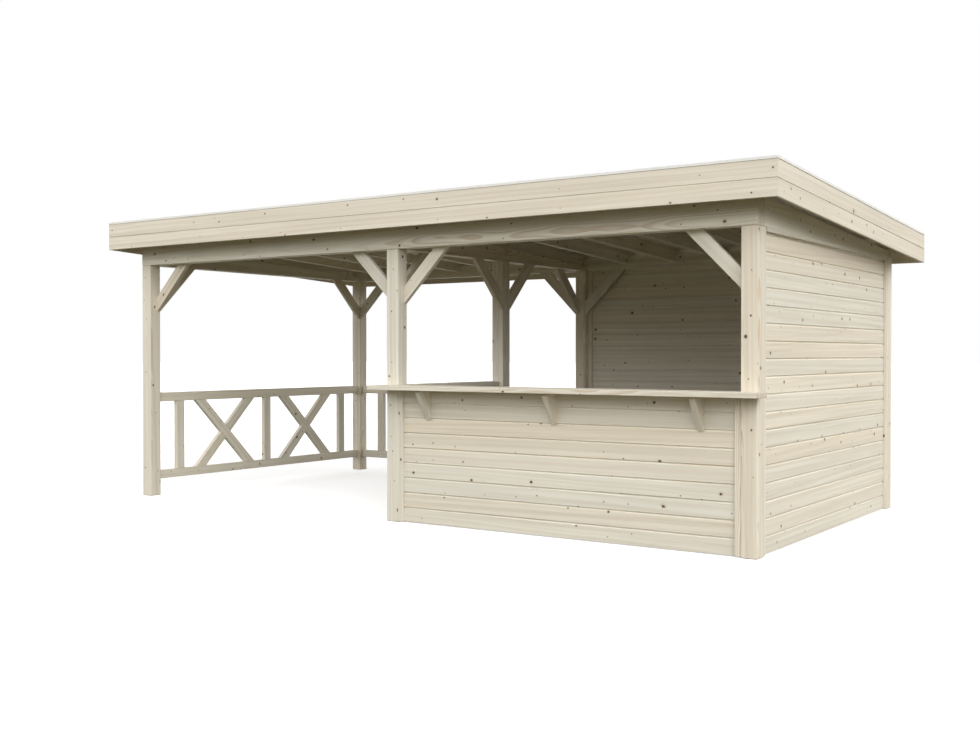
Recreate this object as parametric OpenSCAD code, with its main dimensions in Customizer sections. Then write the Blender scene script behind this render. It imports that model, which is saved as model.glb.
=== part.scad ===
// Garden pavilion: an open terrace bay beside a boarded bar bay, under one
// lean-to roof. +X runs along the front from the terrace to the bar, +Y to
// the back, +Z up. The origin is on the ground, under the middle of the roof.

/* [Frame] */
// Width over the outer faces of the corner posts
frame_w = 6000; // [5400:100:6600]
// Depth over the outer faces of the corner posts
frame_d = 3060; // [2800:20:3400]
// Side of every square post, and width of every beam
post_w = 115; // [100:5:130]
// Height from the ground to the underside of the beams
beam_z = 2140; // [2000:20:2300]
// Height of the front beam
front_beam_h = 200; // [180:10:240]
// Height of the back beam
back_beam_h = 115; // [90:5:120]

/* [Braces] */
// Distance along post and beam from the corner to the tip of a brace
brace_leg = 428; // [340:4:480]
// Width of a brace board
brace_w = 95; // [80:5:120]
// Thickness of a brace board
brace_t = 40; // [28:1:60]

/* [Roof] */
// Fall of the roof to the back, in millimetres for each metre
fall = 50; // [30:5:60]
// Overhang of the fascia past the front posts
eave_front = 209; // [150:1:300]
// Overhang of the fascia past the side posts
eave_side = 207; // [150:1:300]
// Overhang of the fascia past the back posts
eave_back = 244; // [150:1:300]
// Height of one fascia board, of which there are two
fascia_board_h = 117; // [100:1:130]
// Thickness of a fascia board
fascia_t = 20; // [18:1:28]
// Height of the edge trim on top of the fascia
trim_h = 18; // [10:1:25]
// Thickness of a rafter
rafter_t = 45; // [35:1:60]
// Height of a rafter
rafter_h = 120; // [110:5:130]
// Spacing of the rafters
rafter_pitch = 500; // [400:50:600]
// Thickness of the roof boards
deck_t = 19; // [16:1:22]

/* [Walls] */
// Thickness of the wall boards
board_t = 20; // [18:1:28]
// Distance from a post's outer face in to the face of the wall boards
board_inset = 25; // [20:1:30]
// Gap between the ground and the lowest board
wall_gap = 6; // [4:1:20]
// Width of the batten that covers the board ends at each post
batten_w = 42; // [30:1:50]
// Thickness of that batten
batten_t = 20; // [12:1:20]
// Height of the batten along the top of the right wall
head_h = 28; // [20:1:50]

/* [Bar] */
// Height from the ground to the underside of the counter
counter_z = 1038; // [900:2:1150]
// Thickness of the counter
counter_t = 36; // [28:1:45]
// Overhang of the front counter past the posts
counter_reach = 180; // [120:5:240]
// Overhang of the counter past the posts on the terrace side
counter_end = 50; // [20:1:60]
// Overhang of the front counter past the right post
counter_end_right = 64; // [20:1:80]
// Distance the counter reaches in from a post's outer face
counter_lap = 84; // [70:1:90]
// Thickness of a counter bracket
bracket_t = 45; // [28:1:50]
// Height of a counter bracket
bracket_h = 240; // [180:5:260]
// Spacing of the counter brackets
bracket_pitch = 1130; // [900:10:1150]

/* [Railing] */
// Thickness of every railing member
rail_t = 45; // [35:1:55]
// Height of the top of the top rail
rail_top_z = 956; // [850:2:1100]
// Height of the top rail
rail_top_h = 85; // [60:1:95]
// Underside of the bottom rail
rail_low_z = 147; // [80:1:200]
// Height of the bottom rail
rail_low_h = 79; // [60:1:95]
// Width of a baluster
baluster_w = 90; // [60:1:100]
// Distance from a post's face to the middle of the nearest baluster
baluster_inset = 270; // [200:10:320]
// Width of a crossed member
cross_w = 90; // [55:1:95]

/* [Hidden] */
slope = fall / 1000;
right_x = frame_w / 2;
inner_x = right_x - post_w;
trim_over = 3;
trim_w = 36;
front_y = -(frame_d + eave_front + eave_back) / 2 + eave_front;
back_y = front_y + frame_d;
mid_y = (front_y + back_y) / 2;
roof_x = right_x + eave_side;
roof_front_y = front_y - eave_front;
roof_back_y = back_y + eave_back;
fascia_h = 2 * fascia_board_h;
// Heights above the sloping line of the fascia's lower edge
rafter_low = 70;
deck_low = rafter_low + rafter_h;
felt_low = deck_low + deck_t;
felt_t = 4;
verge_x = roof_x - fascia_t - rafter_t / 2;
brace_cut = brace_w * sqrt(2);
// Gap between the right wall's head batten and the upright ones
head_gap = 0.5;
bracket_tip_h = 18;
bracket_setback = 58;
bracket_depth = counter_reach + board_inset - bracket_setback;
// Overlap that joins the blocks of one piece
join = 1;
far = 2 * frame_w;

timber = [0.87, 0.83, 0.74];
pale_timber = [0.90, 0.87, 0.78];

// Height of the fascia's lower edge at a given Y
function eave_z(y) = beam_z + front_beam_h - rafter_low - slope * (y - front_y);

// A block from one corner to the opposite one
module block(low, high) {
    translate(low)
        cube(high - low);
}

// A shape drawn in Y and Z, made thick along X from x0 to x1
module along_x(x0, x1) {
    translate([x0, 0, 0])
        rotate([90, 0, 90])
            linear_extrude(x1 - x0)
                children();
}

// The part of a plan shape that lies between two heights above the eave line
module roof_layer(low, high) {
    intersection() {
        along_x(-far, far)
            polygon([
                [-far, eave_z(-far) + low], [far, eave_z(far) + low],
                [far, eave_z(far) + high], [-far, eave_z(-far) + high]
            ]);
        linear_extrude(far)
            children();
    }
}

module post(x, y) {
    color(pale_timber)
        block([x, y, 0], [x + post_w, y + post_w, beam_z]);
}

module beam_front() {
    color(timber)
        block([-right_x, front_y, beam_z], [right_x, front_y + post_w, beam_z + front_beam_h]);
}

module beam_back() {
    color(timber)
        block([-right_x, back_y - post_w, beam_z], [right_x, back_y, beam_z + back_beam_h]);
}

// A beam from front to back, its top cut to the fall of the roof
module tapered_beam(x) {
    y0 = front_y + post_w;
    y1 = back_y - post_w;
    color(timber)
        along_x(x, x + post_w)
            polygon([
                [y0, beam_z], [y1, beam_z],
                [y1, eave_z(y1) + rafter_low], [y0, eave_z(y0) + rafter_low]
            ]);
}

// A board at 45 degrees, drawn in the corner between a post and a beam
module brace_outline() {
    polygon([
        [0, -brace_leg], [brace_leg, 0],
        [brace_leg - brace_cut, 0], [0, brace_cut - brace_leg]
    ]);
}

// A brace along X, from a post's face at x, its near face at y
module brace_x(x, y, way) {
    color(timber)
        translate([x, y + brace_t, beam_z])
            rotate([90, 0, 0])
                linear_extrude(brace_t)
                    scale([way, 1])
                        brace_outline();
}

// A brace along Y, from a post's face at y, its left face at x
module brace_y(x, y, way) {
    color(timber)
        translate([0, y, beam_z])
            along_x(x, x + brace_t)
                scale([way, 1])
                    brace_outline();
}

module braces_front_left() {
    brace_x(-right_x + post_w, front_y + post_w - brace_t, 1);
    brace_y(-right_x + post_w - brace_t, front_y + post_w, 1);
}

module braces_front_middle() {
    for (way = [-1, 1])
        brace_x(way * post_w / 2, front_y + post_w - brace_t, way);
    brace_y(-post_w / 2, front_y + post_w, 1);
}

module braces_front_right() {
    brace_x(inner_x, front_y + post_w - brace_t, -1);
    brace_y(inner_x, front_y + post_w, 1);
}

module braces_back_left() {
    brace_x(-right_x + post_w, back_y - post_w, 1);
    brace_y(-right_x + post_w - brace_t, back_y - post_w, -1);
}

module braces_back_middle() {
    for (way = [-1, 1])
        brace_x(way * post_w / 2, back_y - post_w, way);
    brace_y(-post_w / 2, back_y - post_w, -1);
}

module braces_back_right() {
    brace_x(inner_x, back_y - post_w, -1);
    brace_y(inner_x, back_y - post_w, -1);
}

module braces_bar_side() {
    for (way = [-1, 1])
        brace_y(post_w / 2 - brace_t, mid_y + way * post_w / 2, way);
}

// A rafter with a level seat on each beam
module rafter(x) {
    y0 = roof_front_y + fascia_t;
    y1 = roof_back_y - fascia_t;
    seat_front = beam_z + front_beam_h;
    seat_back = beam_z + back_beam_h;
    inner_front = front_y + post_w;
    inner_back = back_y - post_w;
    color(timber)
        along_x(x - rafter_t / 2, x + rafter_t / 2)
            polygon([
                [y0, eave_z(y0) + rafter_low],
                [front_y, seat_front],
                [inner_front, seat_front],
                [inner_front, eave_z(inner_front) + rafter_low],
                [inner_back, eave_z(inner_back) + rafter_low],
                [inner_back, seat_back],
                [back_y, seat_back],
                [back_y, eave_z(back_y) + rafter_low],
                [y1, eave_z(y1) + rafter_low],
                [y1, eave_z(y1) + deck_low],
                [y0, eave_z(y0) + deck_low]
            ]);
}

module rafters() {
    count = floor((frame_w - rafter_t) / 2 / rafter_pitch);
    for (i = [-count : count])
        rafter(i * rafter_pitch);
    for (side = [-1, 1])
        rafter(side * verge_x);
}

// The roof's plan, held back from its outer edge
module roof_plan(back) {
    translate([-roof_x + back, roof_front_y + back])
        square([2 * (roof_x - back), roof_back_y - roof_front_y - 2 * back]);
}

module roof_boards() {
    color(timber)
        roof_layer(deck_low, felt_low)
            roof_plan(fascia_t);
}

module roof_felt() {
    color([0.25, 0.25, 0.26])
        roof_layer(felt_low, felt_low + felt_t)
            roof_plan(fascia_t);
}

// The strip of a rectangle's edge on one side, with mitred ends
module mitred_strip(side, over, width) {
    x = roof_x + over;
    y0 = roof_front_y - over;
    y1 = roof_back_y + over;
    corners = [[-x, y0], [x, y0], [x, y1], [-x, y1]];
    inset = [[width, width], [-width, width], [-width, -width], [width, -width]];
    next = (side + 1) % 4;
    polygon([
        corners[side], corners[next],
        corners[next] + inset[next], corners[side] + inset[side]
    ]);
}

// One fascia board: row 0 is the lower board and row 1 the upper
module fascia(side, row) {
    color(pale_timber)
        roof_layer(row * fascia_board_h, (row + 1) * fascia_board_h)
            mitred_strip(side, 0, fascia_t);
}

// The folded trim on top of the fascia, one length for each side
module trim(side) {
    color([0.93, 0.93, 0.92])
        roof_layer(fascia_h, fascia_h + trim_h)
            mitred_strip(side, trim_over, trim_w);
}

module wall_right() {
    face = right_x - board_inset;
    color(timber)
        block([face - board_t, front_y + post_w, wall_gap], [face, back_y - post_w, beam_z]);
}

module wall_back() {
    face = back_y - board_inset;
    color(timber)
        block([post_w / 2, face - board_t, wall_gap], [inner_x, face, beam_z]);
}

module wall_bar_front() {
    face = front_y + board_inset;
    color(timber)
        block([post_w / 2, face, wall_gap], [inner_x, face + board_t, counter_z]);
}

module wall_bar_side() {
    face = -post_w / 2 + board_inset;
    color(timber)
        block(
            [face, front_y + post_w, wall_gap],
            [face + board_t, mid_y - post_w / 2, counter_z]
        );
}

// A pair of battens on both faces of a wall that runs along X, whose outer
// face is at y and looks the given way
module battens_x(x0, x1, y, way, top_z) {
    for (x = [x0, x1 - batten_w], depth = [0, -board_t - batten_t])
        translate([x, y + (way > 0 ? depth : -depth - batten_t), wall_gap])
            cube([batten_w, batten_t, top_z - wall_gap]);
}

// The same for a wall that runs along Y, whose outer face is at x
module battens_y(y0, y1, x, way, top_z) {
    for (y = [y0, y1 - batten_w], depth = [0, -board_t - batten_t])
        translate([x + (way > 0 ? depth : -depth - batten_t), y, wall_gap])
            cube([batten_t, batten_w, top_z - wall_gap]);
}

// The battens that hold the ends of the wall boards
module wall_battens() {
    color(pale_timber) {
        battens_y(front_y + post_w, back_y - post_w, right_x - board_inset, 1, beam_z);
        block(
            [right_x - board_inset, front_y + post_w + batten_w + head_gap, beam_z - head_h],
            [right_x, back_y - post_w - batten_w - head_gap, beam_z]
        );
        battens_x(post_w / 2, inner_x, back_y - board_inset, 1, beam_z);
        battens_x(post_w / 2, inner_x, front_y + board_inset, -1, counter_z);
        battens_y(
            front_y + post_w, mid_y - post_w / 2,
            board_inset - post_w / 2, -1, counter_z
        );
    }
}

// The front counter: a board past the posts, and one between them
module counter_front() {
    edge_y = front_y + counter_lap;
    top_z = counter_z + counter_t;
    color(pale_timber)
        union() {
            block(
                [-post_w / 2 - counter_end, front_y - counter_reach, counter_z],
                [right_x + counter_end_right, front_y, top_z]
            );
            block([post_w / 2, front_y - join, counter_z], [inner_x, edge_y, top_z]);
        }
}

// The side counter: a board past the posts, and one between them
module counter_side() {
    edge_x = counter_lap - post_w / 2;
    top_z = counter_z + counter_t;
    y1 = mid_y + post_w / 2;
    color(pale_timber)
        union() {
            block([-post_w / 2 - counter_end, front_y, counter_z], [-post_w / 2, y1, top_z]);
            block(
                [-post_w / 2 - join, front_y + post_w, counter_z],
                [edge_x, mid_y - post_w / 2, top_z]
            );
        }
}

// A wedge with its upright side on the boards and its top under the counter
module bracket(x) {
    face = front_y + board_inset;
    along_x(x - bracket_t / 2, x + bracket_t / 2)
        polygon([
            [face, counter_z - bracket_h], [face, counter_z],
            [face - bracket_depth, counter_z],
            [face - bracket_depth, counter_z - bracket_tip_h]
        ]);
}

module counter_brackets() {
    middle = (post_w / 2 + inner_x) / 2;
    color(pale_timber)
        for (i = [-1 : 1])
            bracket(middle + i * bracket_pitch);
}

// Half of one crossed pair, leaning one way, between the two rails
module cross_member(middle, lean) {
    low = rail_low_z + rail_low_h;
    high = rail_top_z - rail_top_h;
    half = (high - low) / 2;
    cut = cross_w / sqrt(2);
    polygon([
        [middle - lean * half - cut, low], [middle - lean * half + cut, low],
        [middle + lean * half + cut, high], [middle + lean * half - cut, high]
    ]);
}

// A railing's outline, with its length along the first axis
module railing_outline(length) {
    uprights = [baluster_inset, length / 2, length - baluster_inset];
    translate([0, rail_low_z])
        square([length, rail_low_h]);
    translate([0, rail_top_z - rail_top_h])
        square([length, rail_top_h]);
    for (at = uprights)
        translate([at - baluster_w / 2, rail_low_z + join])
            square([baluster_w, rail_top_z - rail_low_z - 2 * join]);
    for (i = [0, 1], lean = [-1, 1])
        cross_member((uprights[i] + uprights[i + 1]) / 2, lean);
}

module railing_left() {
    x = -right_x + (post_w - rail_t) / 2;
    color(timber)
        translate([0, front_y + post_w, 0])
            along_x(x, x + rail_t)
                railing_outline(frame_d - 2 * post_w);
}

module railing_back() {
    color(timber)
        translate([-right_x + post_w, back_y - (post_w - rail_t) / 2, 0])
            rotate([90, 0, 0])
                linear_extrude(rail_t)
                    railing_outline(right_x - 1.5 * post_w);
}

post(-right_x, front_y);  // post_front_left
post(-post_w / 2, front_y);  // post_front_middle
post(inner_x, front_y);  // post_front_right
post(-right_x, back_y - post_w);  // post_back_left
post(-post_w / 2, back_y - post_w);  // post_back_middle
post(inner_x, back_y - post_w);  // post_back_right
post(-post_w / 2, mid_y - post_w / 2);  // post_bar_side
beam_front();
beam_back();
tapered_beam(-right_x);  // beam_left
tapered_beam(-post_w / 2);  // beam_centre
tapered_beam(inner_x);  // beam_right
braces_front_left();
braces_front_middle();
braces_front_right();
braces_back_left();
braces_back_middle();
braces_back_right();
braces_bar_side();
rafters();
roof_boards();
roof_felt();
fascia(0, 0);  // fascia_front_lower
fascia(0, 1);  // fascia_front_upper
fascia(1, 0);  // fascia_right_lower
fascia(1, 1);  // fascia_right_upper
fascia(2, 0);  // fascia_back_lower
fascia(2, 1);  // fascia_back_upper
fascia(3, 0);  // fascia_left_lower
fascia(3, 1);  // fascia_left_upper
trim(0);  // trim_front
trim(1);  // trim_right
trim(2);  // trim_back
trim(3);  // trim_left
wall_right();
wall_back();
wall_bar_front();
wall_bar_side();
wall_battens();
counter_front();
counter_side();
counter_brackets();
railing_left();
railing_back();
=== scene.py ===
import math
import random

import bmesh
import bpy
from mathutils import Matrix, Vector


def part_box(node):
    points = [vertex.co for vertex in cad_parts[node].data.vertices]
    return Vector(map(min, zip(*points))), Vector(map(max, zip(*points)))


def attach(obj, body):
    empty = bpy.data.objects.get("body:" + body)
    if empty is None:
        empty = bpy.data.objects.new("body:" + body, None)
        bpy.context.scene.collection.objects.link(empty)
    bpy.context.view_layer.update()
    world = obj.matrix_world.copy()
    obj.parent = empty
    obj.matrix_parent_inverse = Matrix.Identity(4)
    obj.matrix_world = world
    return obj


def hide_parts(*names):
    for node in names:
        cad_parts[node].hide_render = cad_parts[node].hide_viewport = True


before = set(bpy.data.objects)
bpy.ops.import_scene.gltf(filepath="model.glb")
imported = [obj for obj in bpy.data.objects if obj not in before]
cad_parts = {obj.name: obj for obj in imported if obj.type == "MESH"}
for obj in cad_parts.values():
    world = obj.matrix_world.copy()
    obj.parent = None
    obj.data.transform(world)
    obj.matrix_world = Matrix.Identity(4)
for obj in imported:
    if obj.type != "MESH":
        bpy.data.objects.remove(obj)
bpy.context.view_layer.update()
scene = bpy.context.scene
draw = random.Random(4117)
print("frame loaded:", len(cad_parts), "nodes")

right, back, up = Vector((1, 0, 0)), Vector((0, 1, 0)), Vector((0, 0, 1))


# shader helpers

class Wire:
    def __init__(self, sheet, socket):
        self.sheet = sheet
        self.socket = socket

    def pick(self, name):
        return Wire(self.sheet, self.socket.node.outputs[name])

    def maths(self, operation, first, second=0.0):
        return self.sheet.add("ShaderNodeMath", {"operation": operation}, {0: first, 1: second})

    def __add__(self, other):
        return self.maths("ADD", self, other)

    def __radd__(self, other):
        return self.maths("ADD", other, self)

    def __sub__(self, other):
        return self.maths("SUBTRACT", self, other)

    def __rsub__(self, other):
        return self.maths("SUBTRACT", other, self)

    def __mul__(self, other):
        return self.maths("MULTIPLY", self, other)

    def __rmul__(self, other):
        return self.maths("MULTIPLY", other, self)

    def __truediv__(self, other):
        return self.maths("DIVIDE", self, other)

    def __rtruediv__(self, other):
        return self.maths("DIVIDE", other, self)

    def __pow__(self, other):
        return self.maths("POWER", self, other)

    def __lt__(self, other):
        return self.maths("LESS_THAN", self, other)


class Sheet:
    def __init__(self, tree):
        self.tree = tree
        tree.nodes.clear()

    def add(self, kind, settings, sockets, out=0):
        node = self.tree.nodes.new(kind)
        for key, value in settings.items():
            setattr(node, key, value)
        for key, value in sockets.items():
            if isinstance(value, Wire):
                self.tree.links.new(value.socket, node.inputs[key])
            else:
                node.inputs[key].default_value = value
        return Wire(self, node.outputs[out]) if node.outputs else node

    def attribute(self, name, out):
        return self.add("ShaderNodeAttribute", {"attribute_name": name}, {}, out)

    def split(self, vector):
        wire = self.add("ShaderNodeSeparateXYZ", {}, {0: vector}, "X")
        return wire, wire.pick("Y"), wire.pick("Z")

    def vector(self, operation, first, second, third=None):
        sockets = {0: first, 1: second}
        if third is not None:
            sockets[2] = third
        return self.add("ShaderNodeVectorMath", {"operation": operation}, sockets)

    def noise(self, place, scale, detail=2.0, rough=0.5):
        return self.add("ShaderNodeTexNoise", {}, {
            "Vector": self.vector("MULTIPLY", place, scale), "Scale": 1.0,
            "Detail": detail, "Roughness": rough,
        }, "Fac")

    def fade(self, value, start, end, low=0.0, high=1.0):
        return self.add("ShaderNodeMapRange", {"interpolation_type": "SMOOTHSTEP"}, {
            "Value": value, "From Min": start, "From Max": end, "To Min": low, "To Max": high,
        })

    def blend(self, mask, first, second, mode="MIX"):
        return self.add("ShaderNodeMix", {"data_type": "RGBA", "blend_type": mode}, {
            0: mask, 6: first, 7: second,
        }, 2)

    def plainSight(self):
        ray = self.add("ShaderNodeLightPath", {}, {}, "Is Camera Ray")
        return self.add("ShaderNodeMath", {"operation": "ADD", "use_clamp": True}, {
            0: ray + ray.pick("Is Glossy Ray"), 1: ray.pick("Is Transmission Ray"),
        })


def paint(red, green, blue):
    return (red, green, blue, 1.0)


def newMaterial(title):
    material = bpy.data.materials.new(title)
    material.use_nodes = True
    return material, Sheet(material.node_tree)


def closeShader(sheet, sockets):
    shader = sheet.add("ShaderNodeBsdfPrincipled", {}, sockets)
    sheet.add("ShaderNodeOutputMaterial", {}, {"Surface": shader})


# untreated spruce: rings about a pith, knots, streaks and fibres, all in the board's own axes
sprucePale = {
    "pale": paint(0.770, 0.741, 0.650), "warm": paint(0.800, 0.731, 0.602),
    "grey": paint(0.744, 0.722, 0.642), "late": paint(0.50, 0.37, 0.23),
    "knot": paint(0.062, 0.042, 0.027), "halo": paint(0.54, 0.37, 0.22),
    "ringWidth": 0.0060, "ringShow": 0.58, "pithSide": 0.13, "pithNear": 0.010,
    "pithFar": 0.070, "taper": 0.052, "wander": 0.018, "streak": 0.12,
    "knotScale": 6.5, "knotLeast": 0.0036, "knotGrow": 0.0085, "knotShare": 0.50,
    "knotLong": 0.85, "core": (1.05, 0.80), "coreShow": 0.95, "spread": (2.6, 0.9),
    "haloLeast": 0.08, "haloMore": 0.62, "ragged": 260.0, "lightest": 1.03, "darkest": 0.975,
    "greyFrom": 0.45, "greyShow": 0.6, "endTone": paint(0.66, 0.60, 0.50), "endShow": 0.55,
    "seedShift": (37.0, 53.0, 71.0), "sideShift": 5.3, "relief": 0.0006, "roughness": 0.62,
}


def spruce(title, **changes):
    look = {**sprucePale, **changes}
    material, sheet = newMaterial(title)
    place = sheet.attribute("grainPlace", "Vector")
    seed = sheet.attribute("boardSeed", "Vector")
    endFace = sheet.attribute("endFace", "Fac")
    sideFace = sheet.attribute("sideFace", "Fac")
    seedX, seedY, seedZ = sheet.split(seed)
    own = sheet.vector("MULTIPLY_ADD", seed, look["seedShift"], place)

    # knots run in from a face, so each face has its own, round or a little long
    ownX, ownY, ownZ = sheet.split(own)
    flat = sheet.add("ShaderNodeCombineXYZ", {}, {
        "X": ownX * look["knotLong"], "Y": ownZ + (ownY + look["sideShift"] - ownZ) * sideFace,
    })
    knots = sheet.add("ShaderNodeTexVoronoi", {"feature": "F1", "voronoi_dimensions": "2D"}, {
        "Vector": flat, "Scale": look["knotScale"], "Randomness": 1.0,
    }, "Distance")
    rareX, rareY, rareZ = sheet.split(knots.pick("Color"))
    ragged = sheet.noise(own, (look["ragged"],) * 3, 1.0)
    reach = knots / look["knotScale"] * (0.8 + 0.4 * ragged)
    knotSize = (look["knotLeast"] + look["knotGrow"] * rareX ** 3.0) * (rareY < look["knotShare"])
    (coreOut, coreIn), (haloOut, haloIn) = look["core"], look["spread"]
    core = sheet.fade(reach, knotSize * coreOut + 0.00001, knotSize * coreIn)
    halo = sheet.fade(reach, knotSize * haloOut + 0.00002, knotSize * haloIn)

    drift = sheet.add("ShaderNodeTexNoise", {}, {
        "Vector": sheet.vector("MULTIPLY", own, (1.3, 4.0, 4.0)), "Scale": 1.0, "Detail": 1.5,
    }, "Color")
    drift = sheet.vector("MULTIPLY", sheet.vector("SUBTRACT", drift, (0.5, 0.5, 0.5)),
                         (0.0, look["wander"] * 2, look["wander"] * 2))
    bent = sheet.vector("ADD", place, drift)
    alongX, acrossY, acrossZ = sheet.split(bent)
    pithY = (seedY - 0.5) * look["pithSide"]
    pithZ = look["pithNear"] + seedZ * look["pithFar"]
    spoke = sheet.add("ShaderNodeCombineXYZ", {}, {
        "Y": acrossY - pithY, "Z": acrossZ + pithZ,
    })
    radius = sheet.add("ShaderNodeVectorMath", {"operation": "LENGTH"}, {0: spoke}, "Value")
    lean = (seedX - 0.5) * look["taper"]
    phase = (radius + alongX * lean + halo * 0.004) / look["ringWidth"]
    ring = sheet.add("ShaderNodeMath", {"operation": "FRACT"}, {0: phase})
    late = sheet.fade(ring, 0.25, 0.9) * sheet.fade(ring, 1.0, 0.94)
    group = sheet.add("ShaderNodeTexNoise", {"noise_dimensions": "1D"}, {
        "W": phase * 0.21 + seedX * 91.0, "Scale": 1.0, "Detail": 1.0,
    }, "Fac")
    late = late * sheet.fade(group, 0.36, 0.68, 0.15, 1.0)

    streak = sheet.fade(sheet.noise(own, (0.55, 34.0, 34.0), 3.0), 0.38, 0.68)
    cloud = sheet.fade(sheet.noise(own, (0.9, 5.0, 5.0), 2.0), 0.35, 0.7)
    fibre = sheet.noise(own, (9.0, 520.0, 520.0), 2.0, 0.6)

    colour = sheet.blend(seedX, look["pale"], look["warm"])
    greyed = sheet.fade(seedZ, look["greyFrom"], 1.0) * look["greyShow"]
    colour = sheet.blend(greyed, colour, look["grey"])
    tone = look["darkest"] + (look["lightest"] - look["darkest"]) * seedY
    tone = tone * (1.0 - 0.07 * streak) * (0.97 + 0.05 * cloud) * (0.985 + 0.03 * fibre)
    colour = sheet.add("ShaderNodeVectorMath", {"operation": "SCALE"}, {0: colour, "Scale": tone})
    colour = sheet.blend(streak * look["streak"], colour, look["warm"], "MULTIPLY")
    colour = sheet.blend(late * look["ringShow"], colour, look["late"])
    brown = look["haloLeast"] + look["haloMore"] * rareZ * rareX
    colour = sheet.blend(halo * brown, colour, look["halo"])
    colour = sheet.blend(core * look["coreShow"], colour, look["knot"])
    colour = sheet.blend(endFace * look["endShow"], colour, look["endTone"], "MULTIPLY")

    height = fibre * 0.35 + late * 0.4 - core * 1.2 - streak * 0.2
    normal = sheet.add("ShaderNodeBump", {}, {
        "Height": height, "Distance": look["relief"], "Strength": 0.5,
    })
    rough = look["roughness"] + 0.10 * fibre - 0.14 * core + 0.05 * cloud
    closeShader(sheet, {"Base Color": colour, "Roughness": rough, "Normal": normal, "IOR": 1.42})
    return material


def coatedMetal(title, look):
    material, sheet = newMaterial(title)
    place = sheet.add("ShaderNodeTexCoord", {}, {}, "Object")
    peel = sheet.noise(place, (420.0, 420.0, 420.0), 1.0)
    dust = sheet.fade(sheet.noise(place, (3.0, 3.0, 9.0), 4.0, 0.6), 0.45, 0.75)
    colour = sheet.blend(dust * look["dust"], look["colour"], look["dusty"])
    normal = sheet.add("ShaderNodeBump", {}, {
        "Height": peel, "Distance": 0.00015, "Strength": 0.4,
    })
    closeShader(sheet, {
        "Base Color": colour, "Roughness": look["roughness"] + 0.2 * dust, "Normal": normal,
        "Metallic": look["metal"],
    })
    return material


def mineralFelt(title, look):
    material, sheet = newMaterial(title)
    place = sheet.add("ShaderNodeTexCoord", {}, {}, "Object")
    grains = sheet.add("ShaderNodeTexVoronoi", {"feature": "F1"}, {
        "Vector": place, "Scale": look["grainScale"], "Randomness": 1.0,
    }, "Distance")
    pickX, pickY, pickZ = sheet.split(grains.pick("Color"))
    patch = sheet.fade(sheet.noise(place, (1.1, 1.1, 1.1), 4.0, 0.6), 0.35, 0.7)
    colour = sheet.blend(pickX ** 2.0, look["dark"], look["light"])
    colour = sheet.blend(patch * 0.35, colour, look["washed"])
    normal = sheet.add("ShaderNodeBump", {}, {
        "Height": 1.0 - grains + pickY * 0.5, "Distance": 0.0012, "Strength": 0.7,
    })
    closeShader(sheet, {
        "Base Color": colour, "Roughness": 0.86 + 0.1 * pickZ, "Normal": normal, "IOR": 1.4,
    })
    return material


finish = {
    "post": spruce("postSpruce", knotShare=0.7, pithFar=0.05),
    "beam": spruce("beamSpruce", knotShare=0.7),
    "brace": spruce("braceSpruce", knotShare=0.5),
    "rafter": spruce("rafterSpruce", knotShare=0.8),
    "roofBoard": spruce("roofBoardSpruce", knotShare=0.8),
    "wallBoard": spruce("wallBoardSpruce"),
    "fascia": spruce("fasciaSpruce", knotShare=0.35),
    "batten": spruce("battenSpruce", knotShare=0.5),
    "counter": spruce("counterSpruce", knotShare=0.45),
    "railing": spruce("railingSpruce", knotShare=0.45),
    "trim": coatedMetal("whiteCoatedSheet", {
        "colour": paint(0.79, 0.782, 0.745), "dusty": paint(0.68, 0.67, 0.63), "dust": 0.35,
        "roughness": 0.52, "metal": 0.0,
    }),
    "screw": coatedMetal("zincScrew", {
        "colour": paint(0.62, 0.59, 0.52), "dusty": paint(0.36, 0.33, 0.28), "dust": 0.5,
        "roughness": 0.38, "metal": 1.0,
    }),
    "felt": mineralFelt("mineralFelt", {
        "dark": paint(0.030, 0.031, 0.034), "light": paint(0.15, 0.152, 0.16),
        "washed": paint(0.12, 0.12, 0.118), "grainScale": 520.0,
    }),
}
print("finishes made:", len(finish))


# mesh helpers

def axisFrame(origin, grain, thickness):
    side = grain.cross(thickness)
    matrix = Matrix((grain, thickness, side)).transposed().to_4x4()
    matrix.translation = origin
    return matrix


def cutAway(mesh, cuts, matrix):
    inverse = matrix.inverted()
    turn = inverse.to_3x3()
    for point, normal in cuts:
        made = bmesh.ops.bisect_plane(
            mesh, geom=mesh.verts[:] + mesh.edges[:] + mesh.faces[:], dist=1e-7,
            plane_co=inverse @ point, plane_no=turn @ normal, clear_outer=True,
        )
        rim = [item for item in made["geom_cut"] if isinstance(item, bmesh.types.BMEdge)]
        bmesh.ops.edgenet_fill(mesh, edges=rim)


def closedPrism(nearPoints, farPoints):
    mesh = bmesh.new()
    near = [mesh.verts.new(point) for point in nearPoints]
    far = [mesh.verts.new(point) for point in farPoints]
    mesh.faces.new(near)
    mesh.faces.new(far[::-1])
    for i in range(len(near)):
        j = (i + 1) % len(near)
        mesh.faces.new((near[i], far[i], far[j], near[j]))
    bmesh.ops.recalc_face_normals(mesh, faces=mesh.faces[:])
    return mesh


def soften(mesh, radius, steps, least=25.0, most=181.0):
    edges = [
        edge for edge in mesh.edges
        if len(edge.link_faces) == 2 and least < math.degrees(edge.calc_face_angle(0)) < most
    ]
    if edges and radius > 0:
        bmesh.ops.bevel(
            mesh, geom=edges, offset=radius, offset_type="OFFSET", segments=steps,
            profile=0.5, affect="EDGES", clamp_overlap=True,
        )


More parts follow.
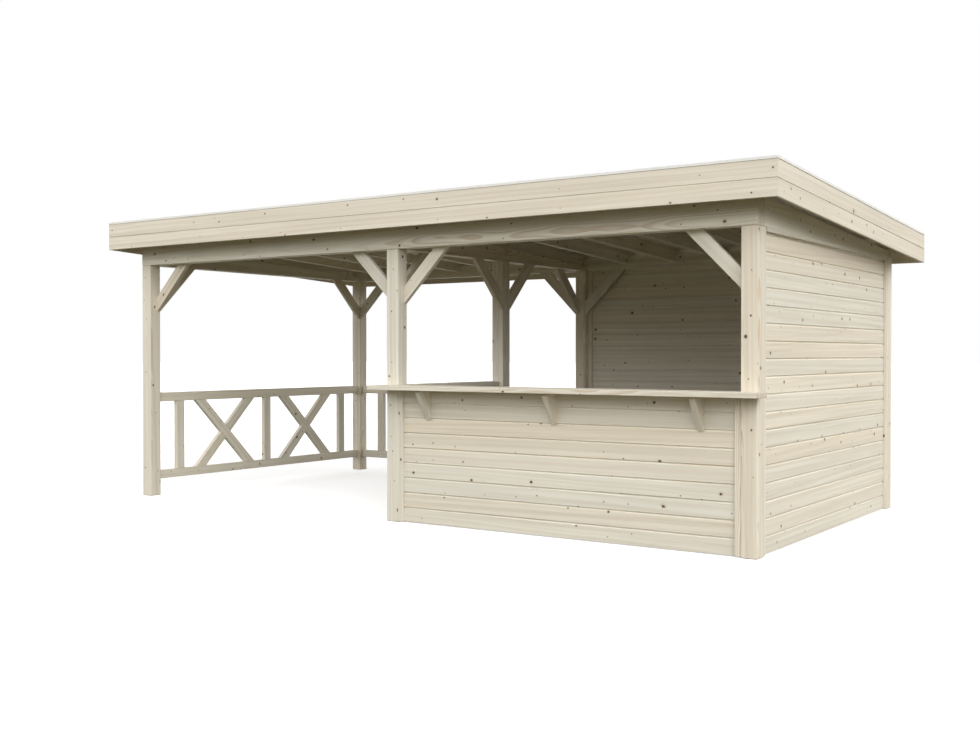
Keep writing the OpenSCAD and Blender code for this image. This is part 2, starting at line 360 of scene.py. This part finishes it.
class Piece:
    def __init__(self, name, material):
        self.name = name
        self.material = material
        self.mesh = bmesh.new()
        self.boards = 0

    def keep(self, mesh, matrix):
        bmesh.ops.recalc_face_normals(mesh, faces=mesh.faces[:])
        grain = mesh.verts.layers.float_vector.new("grainPlace")
        seed = mesh.verts.layers.float_vector.new("boardSeed")
        ends = mesh.faces.layers.float.new("endFace")
        sides = mesh.faces.layers.float.new("sideFace")
        own = Vector((draw.random(), draw.random(), draw.random()))
        for vertex in mesh.verts:
            vertex[grain] = vertex.co
            vertex[seed] = own
        for face in mesh.faces:
            face[ends] = 1.0 if abs(face.normal.x) > 0.55 else 0.0
            face[sides] = 1.0 if abs(face.normal.z) > abs(face.normal.y) else 0.0
            face.smooth = True
        mesh.transform(matrix)
        spare = bpy.data.meshes.new("spare")
        mesh.to_mesh(spare)
        mesh.free()
        self.mesh.from_mesh(spare)
        bpy.data.meshes.remove(spare)
        self.boards += 1

    def plank(self, outline, thickness, depth, grain, radius, steps=3, cuts=()):
        middle = sum(outline, Vector()) / len(outline)
        matrix = axisFrame(middle, grain.normalized(), thickness.normalized())
        inverse = matrix.inverted()
        flat = [inverse @ point for point in outline]
        mesh = closedPrism([(spot.x, -depth / 2, spot.z) for spot in flat],
                           [(spot.x, depth / 2, spot.z) for spot in flat])
        cutAway(mesh, cuts, matrix)
        soften(mesh, radius, steps)
        self.keep(mesh, matrix)

    def stick(self, low, high, along, radius, steps=3, cuts=()):
        size = high - low
        thin, wide = sorted((i for i in range(3) if i != along), key=lambda i: size[i])
        middle = (low + high) / 2
        outline = []
        for first, second in ((0, 0), (1, 0), (1, 1), (0, 1)):
            point = middle.copy()
            point[along] = (low, high)[first][along]
            point[wide] = (low, high)[second][wide]
            outline.append(point)
        axes = (right, back, up)
        self.plank(outline, axes[thin], size[thin], axes[along], radius, steps, cuts)

    def moulding(self, section, start, length, out, rise, radius=0.0008, cuts=()):
        matrix = axisFrame(start, out.cross(rise), out)
        mesh = closedPrism([(0, depth, width) for width, depth in section],
                           [(length, depth, width) for width, depth in section])
        cutAway(mesh, cuts, matrix)
        soften(mesh, radius, 2, 30.0, 60.0)
        self.keep(mesh, matrix)

    def finish(self, slotName, *nodes):
        data = bpy.data.meshes.new(self.name)
        self.mesh.to_mesh(data)
        self.mesh.free()
        data.materials.append(self.material)
        piece = bpy.data.objects.new(self.name, data)
        scene.collection.objects.link(piece)
        even = piece.modifiers.new("evenNormals", "WEIGHTED_NORMAL")
        even.weight = 80
        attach(piece, "root")
        if nodes:
            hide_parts(*nodes)
        return piece


def pieceName(node):
    first, *rest = node.split("_")
    return first + "".join(word.capitalize() for word in rest)


def boardSection(width, thick, joint, lowest=False, highest=False):
    half, cut, middle = joint["gap"] / 2, joint["cut"], thick / 2
    tongue, deep, ease = joint["tongue"] / 2, joint["deep"], joint["ease"]
    edge = joint["edge"]
    turns = [math.radians(degrees) for degrees in (0, 30, 60, 90)]
    arc = [(edge * (1 - math.cos(turn)), edge * (1 - math.sin(turn))) for turn in turns]
    points = []
    if lowest:
        points += [(w, thick - d) for w, d in arc[::-1]]
        points += [(w, d) for w, d in arc]
    else:
        points += [
            (half + cut, thick), (half, thick - cut), (half, middle + tongue + ease),
            (half + deep + ease, middle + tongue + ease),
            (half + deep + ease, middle - tongue - ease),
            (half, middle - tongue - ease), (half, cut), (half + cut, 0),
        ]
    if highest:
        points += [(width - w, d) for w, d in arc[::-1]]
        points += [(width - w, thick - d) for w, d in arc]
    else:
        top = width - half
        points += [
            (top - cut, 0), (top, cut), (top, middle - tongue),
            (top + deep, middle - tongue), (top + deep, middle + tongue),
            (top, middle + tongue), (top, thick - cut), (top - cut, thick),
        ]
    return points


# posts
postLook = {"round": 0.0075, "steps": 4}
for node in [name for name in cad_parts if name.startswith("post_")]:
    piece = Piece(pieceName(node), finish["post"])
    low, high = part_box(node)
    piece.stick(low, high, 2, postLook["round"], postLook["steps"])
    piece.finish("post_timber", node)
print("posts made")

# beams: two level ones along X, three with their tops cut to the fall of the roof
beamLook = {"round": 0.0035, "fall": 0.05}
for node in ("beam_front", "beam_back"):
    piece = Piece(pieceName(node), finish["beam"])
    low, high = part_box(node)
    piece.stick(low, high, 0, beamLook["round"])
    piece.finish("beam_timber", node)
for node in ("beam_left", "beam_centre", "beam_right"):
    piece = Piece(pieceName(node), finish["beam"])
    low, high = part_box(node)
    middle, drop = (low.x + high.x) / 2, beamLook["fall"] * (high.y - low.y)
    outline = [
        Vector((middle, low.y, low.z)), Vector((middle, high.y, low.z)),
        Vector((middle, high.y, high.z - drop)), Vector((middle, low.y, high.z)),
    ]
    piece.plank(outline, right, high.x - low.x, back, beamLook["round"])
    piece.finish("beam_timber", node)
print("beams made")

# braces at 45 degrees under the beams
braceLook = {
    "leg": 0.428, "width": 0.095, "thick": 0.04, "round": 0.0035, "screwInset": 0.055,
}
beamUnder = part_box("beam_front")[0].z
screwSpots = []


def addBrace(piece, corner, way, thickness):
    leg, cut = braceLook["leg"], braceLook["width"] * math.sqrt(2)
    spots = ((0, -leg), (leg, 0), (leg - cut, 0), (0, cut - leg))
    outline = [corner + way * out + up * rise for out, rise in spots]
    piece.plank(outline, thickness, braceLook["thick"], way + up, braceLook["round"])
    inset = braceLook["screwInset"] / math.sqrt(2)
    for out, rise in ((inset, inset - leg), (leg - inset, -inset)):
        screwSpots.append((corner + way * out + up * rise, (way - up).normalized()))


def addBraces():
    half = braceLook["thick"] / 2
    for node in [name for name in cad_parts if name.startswith("braces_")]:
        piece = Piece(pieceName(node), finish["brace"])
        post = "post_" + node[len("braces_"):]
        low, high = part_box(post)
        middle = (low + high) / 2
        left, rightEnd = node.endswith("_left"), node.endswith("_right")
        front, rear = "_front_" in node, "_back_" in node
        levelY = high.y - half if front else low.y + half
        if front or rear:
            if not rightEnd:
                addBrace(piece, Vector((high.x, levelY, beamUnder)), right, back)
            if not left:
                addBrace(piece, Vector((low.x, levelY, beamUnder)), -right, back)
        atLow = rightEnd or node in ("braces_front_middle", "braces_back_middle")
        levelX = low.x + half if atLow else high.x - half
        if not rear:
            addBrace(piece, Vector((levelX, high.y, beamUnder)), back, right)
        if not front:
            addBrace(piece, Vector((levelX, low.y, beamUnder)), -back, right)
        piece.finish("brace_timber", node)


addBraces()
print("braces made:", len(screwSpots) // 2)

# roof: every height is taken above the sloping line of the fascia's lower edge
roofLook = {
    "fall": 0.05, "fasciaBoard": 0.117, "fasciaThick": 0.020, "rafterLow": 0.070,
    "rafterHigh": 0.190, "rafterThick": 0.045, "rafterPitch": 0.5, "rafterRound": 0.0022,
    "rafterReach": 5, "deckThick": 0.019,
}
roofLow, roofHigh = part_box("roof_boards")
fasciaLow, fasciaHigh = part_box("fascia_front_lower")
roofX = fasciaHigh.x
roofFront, roofBack = fasciaLow.y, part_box("fascia_back_lower")[1].y
eaveFront = fasciaHigh.z - roofLook["fasciaBoard"]
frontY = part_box("beam_front")[0].y
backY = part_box("beam_back")[1].y
slopeTurn = math.atan(roofLook["fall"])
slopeWay = Vector((0, math.cos(slopeTurn), -math.sin(slopeTurn)))
slopeUp = Vector((0, math.sin(slopeTurn), math.cos(slopeTurn)))


def eave(y, above=0.0):
    return eaveFront - roofLook["fall"] * (y - roofFront) + above


def addRafter(piece, x):
    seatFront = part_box("beam_front")[1].z
    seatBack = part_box("beam_back")[1].z
    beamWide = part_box("beam_front")[1].y - frontY
    y0, y1 = roofFront + roofLook["fasciaThick"], roofBack - roofLook["fasciaThick"]
    low, high = roofLook["rafterLow"], roofLook["rafterHigh"]
    spots = [
        (y0, eave(y0, low)), (frontY, seatFront), (frontY + beamWide, seatFront),
        (frontY + beamWide, eave(frontY + beamWide, low)),
        (backY - beamWide, eave(backY - beamWide, low)), (backY - beamWide, seatBack),
        (backY, seatBack), (backY, eave(backY, low)), (y1, eave(y1, low)),
        (y1, eave(y1, high)), (y0, eave(y0, high)),
    ]
    outline = [Vector((x, y, z)) for y, z in spots]
    piece.plank(outline, right, roofLook["rafterThick"], slopeWay, roofLook["rafterRound"], 2)


rafters = Piece("roofRafters", finish["rafter"])
for step in range(-roofLook["rafterReach"], roofLook["rafterReach"] + 1):
    addRafter(rafters, step * roofLook["rafterPitch"])
for side in (-1, 1):
    addRafter(rafters, side * (roofX - roofLook["fasciaThick"] - roofLook["rafterThick"] / 2))
rafters.finish("rafter_timber", "rafters")

# roof boards along X, their V-joints underneath
roofJoint = {
    "gap": 0.0012, "cut": 0.0025, "tongue": 0.0055, "deep": 0.0060, "ease": 0.0006,
    "edge": 0.0015,
}
deckLook = {"cover": 0.096, "butt": 0.0006, "buttSpots": (-3, -2, -1, 0, 1, 2, 3)}
deck = Piece("roofBoardLayer", finish["roofBoard"])
deckRun = (roofHigh.y - roofLow.y) / math.cos(slopeTurn)
deckCount = round(deckRun / deckLook["cover"])
deckCover = deckRun / deckCount
deckTop = Vector((roofLow.x, roofLow.y, eave(roofLow.y, roofLook["rafterHigh"])))
deckTop += slopeUp * roofLook["deckThick"]
for i in range(deckCount):
    section = boardSection(
        deckCover, roofLook["deckThick"], roofJoint, i == 0, i == deckCount - 1)
    start = deckTop + slopeWay * (i * deckCover)
    half = draw.choice(deckLook["buttSpots"]) * roofLook["rafterPitch"] - roofLow.x
    full, butt = roofHigh.x - roofLow.x, deckLook["butt"]
    for begin, length in ((0.0, half - butt), (half + butt, full - half - butt)):
        deck.moulding(section, start + right * begin, length, -slopeUp, slopeWay)
deck.finish("roof_board", "roof_boards")
print("roof boards made:", deck.boards)

# felt in lapped strips, turned up inside the fascia under the trim
feltLook = {
    "strip": 1.0, "lap": 0.08, "thick": 0.003, "upturn": 0.236, "foot": 0.060,
    "rise": 0.008, "lead": 0.002, "clear": 0.0003, "short": 0.001, "round": 0.0006,
    "turnRound": 0.0005,
}
felt = Piece("roofFelt", finish["felt"])
feltBase = roofLook["rafterHigh"] + roofLook["deckThick"]
feltStart = Vector((0, roofLow.y, eave(roofLow.y, feltBase)))


def feltPoint(run, rise):
    return feltStart + slopeWay * run + slopeUp * rise


lap, layer = feltLook["lap"], feltLook["thick"]
rise, lead = feltLook["rise"], feltLook["lead"]
stripCount = math.ceil(deckRun / feltLook["strip"])
stripCover = deckRun / stripCount
for i in range(stripCount):
    top, bottom = i * stripCover, (i + 1) * stripCover
    if i < stripCount - 1:
        spots = [
            (top, 0), (bottom - rise, 0), (bottom, layer), (bottom + lap, layer),
            (bottom + lap, 2 * layer), (bottom - lead, 2 * layer),
            (bottom - rise - lead, layer), (top, layer),
        ]
    else:
        spots = [(top, 0), (bottom, 0), (bottom, layer), (top, layer)]
    felt.plank([feltPoint(*spot) for spot in spots], right,
               roofHigh.x - roofLow.x - feltLook["short"], slopeWay, feltLook["round"], 2)


# each side of the roof: the way out, the way up, the corners it runs between and its length
def roofSides():
    corner = {
        "frontRight": Vector((roofX, roofFront, eave(roofFront))),
        "backRight": Vector((roofX, roofBack, eave(roofBack))),
        "frontLeft": Vector((-roofX, roofFront, eave(roofFront))),
        "backLeft": Vector((-roofX, roofBack, eave(roofBack))),
    }
    run = (roofBack - roofFront) / math.cos(slopeTurn)
    return {
        "front": (-back, up, corner["frontRight"], corner["frontLeft"], 2 * roofX),
        "right": (right, slopeUp, corner["backRight"], corner["frontRight"], run),
        "back": (back, up, corner["backLeft"], corner["backRight"], 2 * roofX),
        "left": (-right, slopeUp, corner["frontLeft"], corner["backLeft"], run),
    }


# a strip along one side of the roof with both ends mitred; the section is given as
# (height above the fascia's lower edge, distance out from its face)
def addEdgeStrip(piece, side, section, radius, gap=0.0002):
    out, rise, start, end, length = roofSides()[side]
    grain = out.cross(rise)
    level = Vector((grain.x, grain.y, 0)).normalized()
    cuts = [
        (start + level * gap, (-level - out).normalized()),
        (end - level * gap, (level - out).normalized()),
    ]
    spare = 0.05
    scale = math.cos(slopeTurn) if rise is slopeUp else 1.0
    shaped = [(height * scale, depth) for height, depth in section]
    piece.moulding(shaped, start - grain * spare, length + 2 * spare, out, rise, radius, cuts)


for side in roofSides():
    foot, turn = feltLook["foot"], -roofLook["fasciaThick"] - feltLook["clear"]
    base = feltBase + layer + feltLook["clear"]
    addEdgeStrip(felt, side, [
        (base, turn), (feltLook["upturn"], turn), (feltLook["upturn"], turn - layer),
        (base + 0.012, turn - layer), (base + 0.006, turn - layer - 0.003),
        (base + layer, turn - layer - 0.010), (base + layer, turn - foot),
        (base, turn - foot),
    ], feltLook["turnRound"])
felt.finish("roof_felt", "roof_felt")
print("felt made:", felt.boards)

# fascia: two tongued boards on each side, mitred at the corners
fasciaJoint = {
    "gap": 0.0022, "cut": 0.0024, "tongue": 0.0055, "deep": 0.0065, "ease": 0.0006,
    "edge": 0.0035, "round": 0.0006,
}
for side in ("front", "back", "left", "right"):
    for row, word in enumerate(("lower", "upper")):
        node = "fascia_" + side + "_" + word
        piece = Piece(pieceName(node), finish["fascia"])
        section = boardSection(roofLook["fasciaBoard"], roofLook["fasciaThick"], fasciaJoint,
                               row == 0, row == 1)
        base = row * roofLook["fasciaBoard"]
        section = [(base + width, depth - roofLook["fasciaThick"]) for width, depth in section]
        addEdgeStrip(piece, side, section, fasciaJoint["round"])
        piece.finish("fascia_board", node)
print("fascia made")

# folded trim on top of the fascia
trimFold = [
    (-0.010, -0.0330), (0.0172, -0.0330), (0.0178, -0.0324), (0.0178, 0.0014),
    (0.0170, 0.0022), (0.0036, 0.0022), (0.0029, 0.0029), (0.0004, 0.0029),
    (0.0001, 0.0025), (0.0001, 0.0012), (0.0163, 0.0012), (0.0168, 0.0007),
    (0.0168, -0.0316), (0.0162, -0.0320), (-0.010, -0.0320),
]
for side in ("front", "back", "left", "right"):
    piece = Piece(pieceName("trim_" + side), finish["trim"])
    base = 2 * roofLook["fasciaBoard"]
    addEdgeStrip(piece, side, [(base + height, depth) for height, depth in trimFold], 0.0)
    piece.finish("edge_trim", "trim_" + side)
print("trim made")

# walls of tongued boards laid level from the ground up
wallLook = {"cover": 0.1165, "shift": 0.00025, "endGap": 0.0004, "leastHigh": 0.001}
wallJoint = {
    "gap": 0.0046, "cut": 0.0060, "tongue": 0.0055, "deep": 0.0065, "ease": 0.0006,
    "edge": 0.0020,
}
walls = {
    "wall_right": right, "wall_back": back, "wall_bar_front": -back, "wall_bar_side": -right,
}
for node, out in walls.items():
    piece = Piece(pieceName(node), finish["wallBoard"])
    low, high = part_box(node)
    grain = out.cross(up)
    along = 0 if abs(grain.x) > 0.5 else 1
    thick = high[1 - along] - low[1 - along]
    start = low.copy()
    start[along] = low[along] if grain[along] > 0 else high[along]
    start[1 - along] = low[1 - along] if out[1 - along] > 0 else high[1 - along]
    level = low.z
    while level < high.z - wallLook["leastHigh"]:
        row = round(level / wallLook["cover"])
        head = min((row + 1) * wallLook["cover"], high.z)
        section = boardSection(head - level, thick, wallJoint, level == low.z, head == high.z)
        corner = Vector((start.x, start.y, level))
        corner += out * draw.uniform(-1, 1) * wallLook["shift"] + grain * wallLook["endGap"]
        length = high[along] - low[along] - 2 * wallLook["endGap"]
        piece.moulding(section, corner, length, out, up)
        level = head
    piece.finish("wall_board", node)
    print(node, "boards:", piece.boards)

# battens over the board ends on both faces, and the one along the right wall's top
battenLook = {
    "wide": 0.042, "thick": 0.020, "round": 0.0025, "headHigh": 0.028, "headGap": 0.0005,
    "headRound": 0.0010, "pinPitch": 0.45, "pinEnd": 0.07,
}
battens = Piece("wallBattens", finish["batten"])
battenPins = []
for node, out in walls.items():
    low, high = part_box(node)
    along = 1 if abs(out.x) > 0.5 else 0
    across = 1 - along
    for outer in (True, False):
        facing = out if outer else -out
        for atHigh in (False, True):
            first, last = low.copy(), high.copy()
            if atHigh:
                first[along] = high[along] - battenLook["wide"]
            else:
                last[along] = low[along] + battenLook["wide"]
            if facing[across] > 0:
                first[across] = high[across]
                last[across] = high[across] + battenLook["thick"]
            else:
                last[across] = low[across]
                first[across] = low[across] - battenLook["thick"]
            battens.stick(first, last, 2, battenLook["round"])
            pin = (first + last) / 2
            pin[across] = last[across] if facing[across] > 0 else first[across]
            tall, end = high.z - low.z, battenLook["pinEnd"]
            count = max(3, round(tall / battenLook["pinPitch"]))
            for i in range(count):
                pin.z = low.z + end + (tall - 2 * end) * i / (count - 1)
                battenPins.append((pin.copy(), facing))
low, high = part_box("wall_right")
wide = battenLook["wide"]
outerX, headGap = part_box("wall_battens")[1].x, battenLook["headGap"]
battens.stick(Vector((high.x, low.y + wide + headGap, high.z - battenLook["headHigh"])),
              Vector((outerX, high.y - wide - headGap, high.z)), 1, battenLook["headRound"])
battens.finish("batten_timber", "wall_battens")
print("battens made:", battens.boards)

# the counter: a board past the posts and one between them, on each open side of the bar
counterLook = {"round": 0.0045, "seam": 0.0006}
postLow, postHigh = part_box("post_front_middle")
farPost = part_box("post_front_right")[0]
sidePostLow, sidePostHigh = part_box("post_bar_side")
seam = counterLook["seam"]
low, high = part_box("counter_front")
piece = Piece("counterFront", finish["counter"])
piece.stick(low, Vector((high.x, postLow.y - seam, high.z)), 0, counterLook["round"], 4)
piece.stick(Vector((postHigh.x + seam, postLow.y + seam, low.z)),
            Vector((farPost.x - seam, high.y, high.z)), 0, counterLook["round"], 4)
piece.finish("counter_timber", "counter_front")
low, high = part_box("counter_side")
piece = Piece("counterSide", finish["counter"])
piece.stick(Vector((low.x, postLow.y + seam, low.z)),
            Vector((postLow.x - seam, sidePostHigh.y, high.z)), 1, counterLook["round"], 4)
piece.stick(Vector((postLow.x + seam, postHigh.y + seam, low.z)),
            Vector((high.x, sidePostLow.y - seam, high.z)), 1, counterLook["round"], 4)
piece.finish("counter_timber", "counter_side")

bracketLook = {"thick": 0.045, "tip": 0.018, "round": 0.0030, "count": 3}
low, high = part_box("counter_brackets")
piece = Piece("counterBrackets", finish["counter"])
pitch = (high.x - low.x - bracketLook["thick"]) / (bracketLook["count"] - 1)
for i in range(bracketLook["count"]):
    x = low.x + bracketLook["thick"] / 2 + i * pitch
    outline = [
        Vector((x, high.y, low.z)), Vector((x, high.y, high.z)),
        Vector((x, low.y, high.z)), Vector((x, low.y, high.z - bracketLook["tip"])),
    ]
    piece.plank(outline, right, bracketLook["thick"], outline[3] - outline[0],
                bracketLook["round"])
piece.finish("counter_timber", "counter_brackets")
print("counter made")

# railings: two rails, three uprights and two crossed pairs in each
railLook = {
    "topHigh": 0.085, "lowHigh": 0.079, "upright": 0.090, "inset": 0.270, "cross": 0.090,
    "round": 0.0040, "slim": 0.001, "crossGap": 0.0003,
}


def addRailing(piece, low, high, along):
    across = 1 - along
    axis, facing = ((right, back), (back, right))[along]
    middle = (low[across] + high[across]) / 2
    thick = high[across] - low[across]
    length = high[along] - low[along]
    radius, slim = railLook["round"], railLook["slim"]
    floorZ, ceilZ = low.z + railLook["lowHigh"], high.z - railLook["topHigh"]
    for bottom, top in ((low.z, floorZ), (ceilZ, high.z)):
        piece.stick(Vector((low.x, low.y, bottom)), Vector((high.x, high.y, top)), along, radius)

    def spot(a, z):
        point = Vector((0, 0, z))
        point[along], point[across] = low[along] + a, middle
        return point

    centres = (railLook["inset"], length / 2, length - railLook["inset"])
    for a in centres:
        half = railLook["upright"] / 2
        outline = [spot(a - half, floorZ), spot(a + half, floorZ), spot(a + half, ceilZ),
                   spot(a - half, ceilZ)]
        piece.plank(outline, facing, thick - 2 * slim, up, radius)
    half, cut = (ceilZ - floorZ) / 2, railLook["cross"] / math.sqrt(2)
    clear = railLook["cross"] / 2 + railLook["crossGap"]
    for first, second in zip(centres, centres[1:]):
        a = (first + second) / 2
        centre = spot(a, (floorZ + ceilZ) / 2)
        slant = (axis + up).normalized()
        for lean, cuts in (
            (-1, ()),
            (1, ((centre + slant * clear, -slant),)),
            (1, ((centre - slant * clear, slant),)),
        ):
            outline = [
                spot(a - lean * half - cut, floorZ), spot(a - lean * half + cut, floorZ),
                spot(a + lean * half + cut, ceilZ), spot(a + lean * half - cut, ceilZ),
            ]
            piece.plank(outline, facing, thick - 2 * slim, lean * axis + up, radius, 3, cuts)


for node, along in (("railing_left", 1), ("railing_back", 0)):
    piece = Piece(pieceName(node), finish["railing"])
    low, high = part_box(node)
    addRailing(piece, low, high, along)
    piece.finish("railing_timber", node)
print("railings made")


# screw heads with a six-lobed recess, and the small pins in the battens; a ring of a head is
# its radius, its height and the depth of its lobes, all as shares of the head's radius
screwLook = {
    "head": 0.0055, "pin": 0.0024, "sides": 24, "lobes": 6,
    "rings": ((1.0, -0.30, 0), (1.0, 0.02, 0), (0.93, 0.085, 0), (0.46, 0.10, 0.07),
              (0.42, -0.22, 0.07)),
}


def addScrews(name, spots, size):
    mesh = bmesh.new()
    sides = screwLook["sides"]
    for point, facing in spots:
        turn = draw.uniform(0, math.pi)
        matrix = facing.to_track_quat("Z", "Y").to_matrix().to_4x4()
        matrix.translation = point
        loops = []
        for reach, rise, lobe in screwLook["rings"]:
            loop = []
            for i in range(sides):
                angle = 2 * math.pi * i / sides
                radius = size * (reach + lobe * math.cos(screwLook["lobes"] * angle))
                place = Vector((radius * math.cos(angle + turn), radius * math.sin(angle + turn),
                                rise * size))
                loop.append(mesh.verts.new(matrix @ place))
            loops.append(loop)
        for inner, outer in zip(loops[1:], loops):
            for i in range(sides):
                j = (i + 1) % sides
                face = mesh.faces.new((outer[i], outer[j], inner[j], inner[i]))
                face.smooth = True
        mesh.faces.new(loops[-1])
        mesh.faces.new(loops[0][::-1])
    data = bpy.data.meshes.new(name)
    mesh.to_mesh(data)
    mesh.free()
    data.materials.append(finish["screw"])
    piece = bpy.data.objects.new(name, data)
    scene.collection.objects.link(piece)
    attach(piece, "root")


addScrews("braceScrews", screwSpots, screwLook["head"])
addScrews("battenPins", battenPins, screwLook["pin"])
print("screws made:", len(screwSpots), "and pins:", len(battenPins))

# floor, light and camera
stageLook = {
    "bounce": paint(0.112, 0.098, 0.042), "seen": paint(0.80, 0.80, 0.80), "glow": 0.50,
    "skyLow": 0.58, "skyBand": 1.93, "skyHigh": 0.17, "shown": 1.0, "floorReach": 150.0,
    "bandFoot": (0.15, 0.19), "bandHead": (0.46, 0.56),
    "lamps": {  # degrees round from the front, degrees up, strength, width in degrees
        "keyLight": (45.0, 45.0, 1.15, 40.0), "lowLight": (45.0, 20.0, 0.50, 40.0),
        "sideLight": (82.0, 33.0, 0.64, 40.0), "fillLight": (-40.0, 35.0, 0.42, 40.0),
    },
}
data = bpy.data.meshes.new("floor")
reach = stageLook["floorReach"]
corners = [(-reach, -reach, 0), (reach, -reach, 0), (reach, reach, 0), (-reach, reach, 0)]
data.from_pydata(corners, [], [(0, 1, 2, 3)])
floor = bpy.data.objects.new("floor", data)
scene.collection.objects.link(floor)
floorMaterial, sheet = newMaterial("paleFloor")
shown = sheet.plainSight()
dull = sheet.add("ShaderNodeBsdfDiffuse", {}, {"Color": stageLook["bounce"]})
pale = sheet.add("ShaderNodeBsdfDiffuse", {}, {"Color": stageLook["seen"]})
glow = sheet.add("ShaderNodeEmission", {}, {"Strength": stageLook["glow"]})
seen = sheet.add("ShaderNodeAddShader", {}, {0: pale, 1: glow})
sheet.add("ShaderNodeOutputMaterial", {}, {
    "Surface": sheet.add("ShaderNodeMixShader", {}, {0: shown, 1: dull, 2: seen}),
})
data.materials.append(floorMaterial)

world = bpy.data.worlds.new("studio")
world.use_nodes = True
scene.world = world
sheet = Sheet(world.node_tree)
way = sheet.add("ShaderNodeTexCoord", {}, {}, "Generated")
height = sheet.split(way)[2]
shown = sheet.plainSight()
low, band, high = stageLook["skyLow"], stageLook["skyBand"], stageLook["skyHigh"]
level = sheet.fade(height, *stageLook["bandFoot"], low, band)
level = level - sheet.fade(height, *stageLook["bandHead"], 0.0, band - high)
strength = level * (1.0 - shown) + shown * stageLook["shown"]
sky = sheet.add("ShaderNodeBackground", {}, {"Color": paint(1, 1, 1), "Strength": strength})
sheet.add("ShaderNodeOutputWorld", {}, {"Surface": sky})

for title, (around, rise, strength, wide) in stageLook["lamps"].items():
    lamp = bpy.data.lights.new(title, "SUN")
    lamp.energy, lamp.angle = strength, math.radians(wide)
    holder = bpy.data.objects.new(title, lamp)
    scene.collection.objects.link(holder)
    around, rise = math.radians(around), math.radians(rise)
    source = Vector((math.sin(around) * math.cos(rise), -math.cos(around) * math.cos(rise),
                     math.sin(rise)))
    holder.rotation_euler = source.to_track_quat("Z", "Y").to_euler()

cameraLook = {
    "place": (5.743, -8.5545, 1.313), "turn": 34.48, "tilt": -0.675, "lens": 42.26, "sensor": 36.0,
}
lens = bpy.data.cameras.new("camera")
lens.lens, lens.sensor_width = cameraLook["lens"], cameraLook["sensor"]
camera = bpy.data.objects.new("camera", lens)
scene.collection.objects.link(camera)
camera.location = cameraLook["place"]
tilt, turn = math.radians(90 + cameraLook["tilt"]), math.radians(cameraLook["turn"])
camera.rotation_euler = (tilt, 0, turn)
scene.camera = camera
scene.view_settings.view_transform = "Standard"

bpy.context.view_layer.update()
